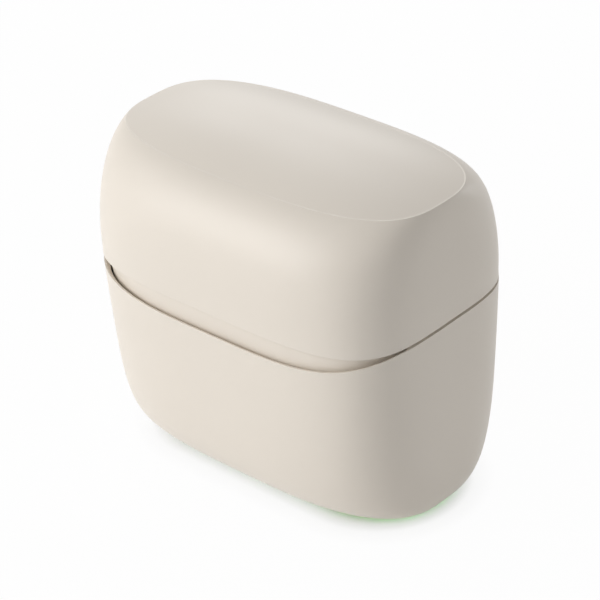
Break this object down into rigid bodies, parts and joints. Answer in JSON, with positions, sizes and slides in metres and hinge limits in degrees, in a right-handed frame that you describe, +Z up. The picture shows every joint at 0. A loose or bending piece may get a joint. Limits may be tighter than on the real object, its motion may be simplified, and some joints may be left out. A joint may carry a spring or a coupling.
{
  "type": "hearing aid charging case",
  "caption": "Rounded flip-lid charging case for a pair of hearing aids, with a low crowned top, a finger scoop, wells inside and a light ring under the base.",
  "frame": {"origin": "centre of the footprint, on the surface the case stands on", "axes": "+X along the long front, +Y towards the hinge at the back, +Z up"},
  "size_m": [0.08, 0.054, 0.0746],
  "materials": {
    "shell_cream": "satin",
    "inner_graphite": "satin",
    "cradle_graphite": "satin",
    "coil_copper": "satin",
    "ferrite_grey": "matte",
    "clear_light": "gloss",
    "led_white": "gloss",
    "board_green": "satin",
    "chip_black": "matte",
    "screw_steel": "satin",
    "battery_silver": "satin",
    "foam_black": "matte",
    "frame_black": "matte",
    "foot_rubber": "matte",
    "hinge_cream": "satin",
    "magnet_nickel": "gloss",
    "pad_rubber": "matte"
  },
  "bodies": {
    "base": {"base_shell": "shell_cream", "inner_collar": "shell_cream", "charging_deck": "inner_graphite", "left_cradle": "cradle_graphite", "right_cradle": "cradle_graphite", "left_coil": "coil_copper", "right_coil": "coil_copper", "coil_ferrites": "ferrite_grey", "left_light_pipe": "clear_light", "right_light_pipe": "clear_light", "status_leds": "led_white", "main_board": "board_green", "board_chips": "chip_black", "board_screws": "screw_steel", "usb_socket": "screw_steel", "socket_tongue": "chip_black", "battery_cell": "battery_silver", "battery_pads": "foam_black", "support_frame": "frame_black", "frame_screws": "screw_steel", "light_board": "board_green", "ring_leds": "led_white", "light_ring": "clear_light", "bottom_plate": "frame_black", "base_screws": "screw_steel", "foot_pad": "foot_rubber", "left_hinge_leaf": "hinge_cream", "right_hinge_leaf": "hinge_cream", "hinge_pin": "screw_steel", "base_magnets": "magnet_nickel"},
    "lid": {"lid_shell": "shell_cream", "lid_liner": "inner_graphite", "left_hold_pad": "pad_rubber", "right_hold_pad": "pad_rubber", "lid_hinge_leaf": "hinge_cream", "lid_magnets": "magnet_nickel"}
  },
  "joints": [
    {"name": "lid_hinge", "type": "hinge", "parent": "base", "child": "lid", "pos_m": [0, 0.02461, 0.04528], "axis": [-1, 0, 0], "range_deg": [0, 95]}
  ]
}
